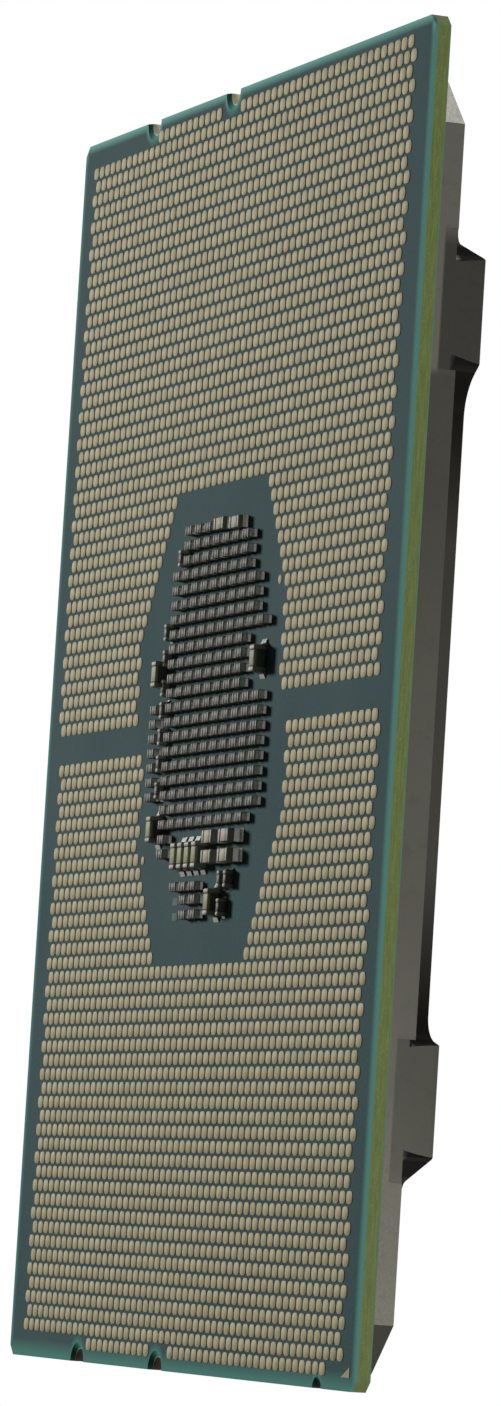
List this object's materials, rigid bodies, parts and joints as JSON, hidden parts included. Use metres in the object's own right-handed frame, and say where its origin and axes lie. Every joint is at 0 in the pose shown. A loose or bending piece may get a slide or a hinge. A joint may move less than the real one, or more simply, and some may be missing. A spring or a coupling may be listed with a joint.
{
  "type": "server processor package",
  "caption": "Land-grid server processor with a staggered field of gold lands around a capacitor pocket, and a stepped nickel heat spreader.",
  "frame": {"origin": "package centre on the plane in which the contact lands meet the socket", "axes": "+Z towards the heat spreader; +Y along the package length; +X across its width, with the pin-one corner at -X, -Y"},
  "size_m": [0.0564, 0.076, 0.0057],
  "materials": {
    "laminate": "satin",
    "solder_mask": "satin",
    "top_mask": "satin",
    "contact_gold": "satin",
    "solder": "satin",
    "capacitor_ceramic": "matte",
    "silicon": "polished",
    "underfill_resin": "satin",
    "interface_metal": "matte",
    "sealant": "matte",
    "nickel_plate": "satin"
  },
  "bodies": {
    "root": {"substrate_core": "laminate", "land_side_mask": "solder_mask", "die_side_mask": "top_mask", "lands_north_full_rows": "contact_gold", "lands_north_pocket_rows": "contact_gold", "lands_south_full_rows": "contact_gold", "lands_south_pocket_rows": "contact_gold", "fiducial_dots": "contact_gold", "pin_one_mark": "contact_gold", "top_pin_one_mark": "contact_gold", "capacitor_pads": "solder", "small_capacitor_bodies": "capacitor_ceramic", "small_capacitor_terminals": "solder", "turned_capacitor_bodies": "capacitor_ceramic", "turned_capacitor_terminals": "solder", "medium_capacitor_bodies": "capacitor_ceramic", "medium_capacitor_terminals": "solder", "tall_capacitor_bodies": "capacitor_ceramic", "tall_capacitor_terminals": "solder", "silicon_die": "silicon", "die_underfill": "underfill_resin", "thermal_interface": "interface_metal", "die_side_capacitor_bodies": "capacitor_ceramic", "die_side_capacitor_terminals": "solder", "lid_sealant": "sealant", "heat_spreader": "nickel_plate"}
  },
  "joints": []
}
